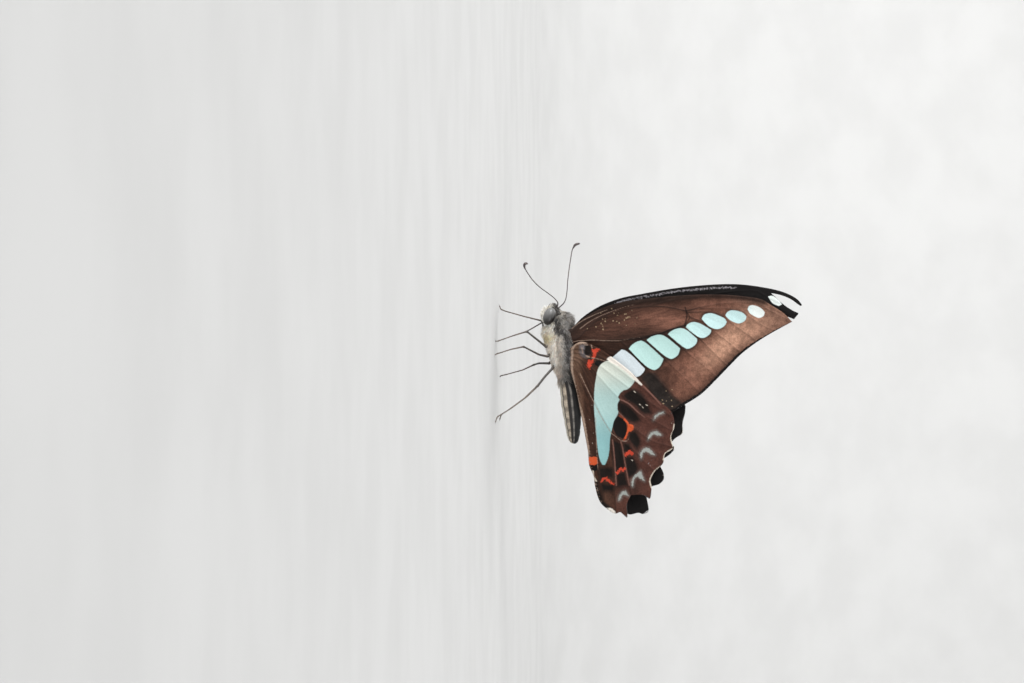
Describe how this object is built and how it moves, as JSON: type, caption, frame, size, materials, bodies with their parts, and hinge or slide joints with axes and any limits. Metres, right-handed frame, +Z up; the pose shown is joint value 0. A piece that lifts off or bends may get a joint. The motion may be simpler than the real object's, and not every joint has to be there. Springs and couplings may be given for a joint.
{
  "type": "common bluebottle butterfly",
  "caption": "Life-size still model of a common bluebottle butterfly, wings closed over its back, standing on its slender legs with feelers spread and proboscis let down.",
  "frame": {"origin": "on the floor, under the middle of the butterfly's bounding box", "axes": "+Z up along the closed wings, -Y towards the head, +X to the animal's left"},
  "size_m": [0.0202, 0.051, 0.0564],
  "materials": {
    "thorax_fur": "cream and grey hair",
    "head_fur": "short grey and cream hair",
    "abdomen_scales": "fine scales, black above and cream below",
    "eye": "glossy dark compound eye",
    "palp_fur": "short cream hair",
    "dark_horn": "dark brown horn",
    "wing_scales": "dark brown scales with pale blue-green windows"
  },
  "bodies": {
    "root": {"thorax": "thorax_fur", "head": "head_fur", "abdomen": "abdomen_scales", "eye_left": "eye", "eye_right": "eye", "palp_left": "palp_fur", "palp_right": "palp_fur", "proboscis": "dark_horn", "antenna_left": "dark_horn", "antenna_right": "dark_horn", "leg_fore_left": "dark_horn", "leg_fore_right": "dark_horn", "leg_mid_left": "dark_horn", "leg_mid_right": "dark_horn", "leg_hind_left": "dark_horn", "leg_hind_right": "dark_horn", "forewing_left": "wing_scales", "forewing_right": "wing_scales", "hindwing_left": "wing_scales", "hindwing_right": "wing_scales"}
  },
  "joints": []
}
